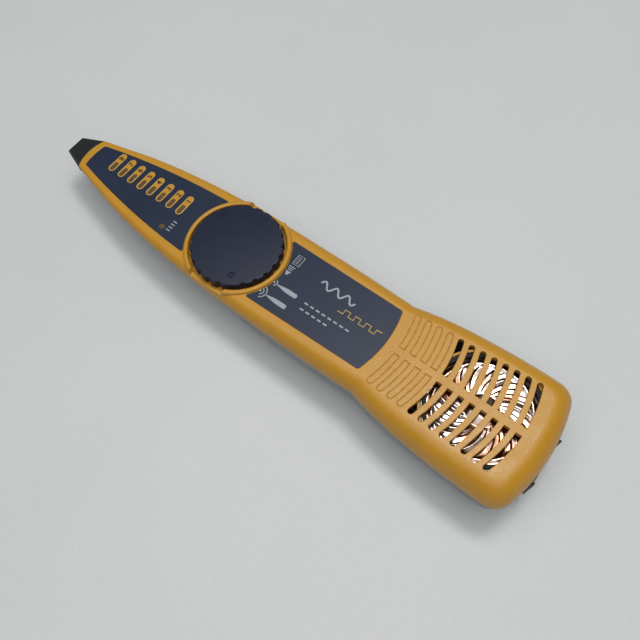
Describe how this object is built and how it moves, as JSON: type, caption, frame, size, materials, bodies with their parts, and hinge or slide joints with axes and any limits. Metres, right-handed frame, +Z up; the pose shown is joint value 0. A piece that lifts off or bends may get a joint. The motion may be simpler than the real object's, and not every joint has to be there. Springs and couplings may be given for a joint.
{
  "type": "tone probe",
  "caption": "Hand-held tone probe with a pointed tip, mode dial, numbered lamp windows, loudspeaker grille, rear cable socket and battery door.",
  "frame": {"origin": "bottom centre of the probe's bounding box, on the flat underside", "axes": "+X along the length from the black tip to the rear socket, +Y across, +Z up from the underside to the control face"},
  "size_m": [0.242, 0.055, 0.033],
  "materials": {
    "shell_yellow": "fine moulded texture",
    "shell_grey": "fine moulded texture",
    "tip_black": "satin",
    "label_navy": "satin film",
    "dial_navy": "fine moulded texture",
    "lens_smoke": "gloss",
    "film_metal": "metallised film",
    "gasket_black": "matt",
    "basket_steel": "plated",
    "magnet_grey": "matt",
    "copper_wire": "varnished",
    "contact_gold": "plated",
    "board_green": "solder mask",
    "chip_black": "moulded",
    "led_white": "diffuse",
    "steel_screw": "zinc plated",
    "jack_black": "satin",
    "battery_jacket": "printed jacket",
    "wire_red": "insulation",
    "foam_grey": "open cell foam",
    "antenna_brass": "plain",
    "switch_plastic": "moulded"
  },
  "bodies": {
    "housing": {"top_housing": "shell_yellow", "bottom_housing": "shell_grey", "probe_tip": "tip_black", "antenna_rod": "antenna_brass", "upper_label": "label_navy", "lower_label": "label_navy", "wiremap_lenses": "lens_smoke", "sync_lens": "lens_smoke", "switch_body": "switch_plastic", "detent_spring": "steel_screw", "main_board": "board_green", "board_screws": "steel_screw", "wiremap_leds": "led_white", "sync_led": "led_white", "signal_chips": "chip_black", "capacitors": "chip_black", "speaker_gasket": "gasket_black", "speaker_basket": "basket_steel", "speaker_plate": "basket_steel", "speaker_magnet": "magnet_grey", "speaker_yoke": "basket_steel", "speaker_terminals": "contact_gold", "contact_block": "switch_plastic", "battery_contacts": "contact_gold", "housing_screws": "steel_screw", "rj45_jack": "jack_black", "rj45_contacts": "contact_gold", "jack_bezel": "jack_black", "jack_board": "board_green", "jack_ribbon": "foam_grey", "speaker_leads": "wire_red", "battery_leads": "wire_red"},
    "dial": {"mode_dial": "dial_navy", "switch_shaft": "switch_plastic", "detent_plate": "switch_plastic"},
    "door": {"battery_door": "shell_grey", "battery_pad": "foam_grey"},
    "captive_screw": {"door_screw": "steel_screw"},
    "battery": {"battery": "battery_jacket", "battery_terminals": "contact_gold"},
    "speaker_cone": {"speaker_diaphragm": "film_metal", "voice_coil": "copper_wire"}
  },
  "joints": [
    {"name": "dial_turn", "type": "hinge", "parent": "housing", "child": "dial", "pos_m": [-0.0248, 0, 0.02735], "axis": [-0.041, 0, 0.9992], "range_deg": [0, 65]},
    {"name": "door_lift", "type": "slide", "parent": "housing", "child": "door", "axis": [0, 0, -1], "range_m": [0, 0.06]},
    {"name": "door_screw_turn", "type": "hinge", "parent": "door", "child": "captive_screw", "pos_m": [0.0406, 0, 0.005], "axis": [0, 0, -1], "continuous": true},
    {"name": "battery_lift", "type": "slide", "parent": "housing", "child": "battery", "axis": [0, 0, -1], "range_m": [0, 0.03]},
    {"name": "cone_travel", "type": "slide", "parent": "housing", "child": "speaker_cone", "axis": [-0.041, 0, 0.9992], "range_m": [-0.0003, 0.0003], "deforming": ["speaker_diaphragm"]}
  ],
  "couplings": [
    {"joint": "battery_lift", "follows": "door_lift", "ratio": 0.5}
  ]
}
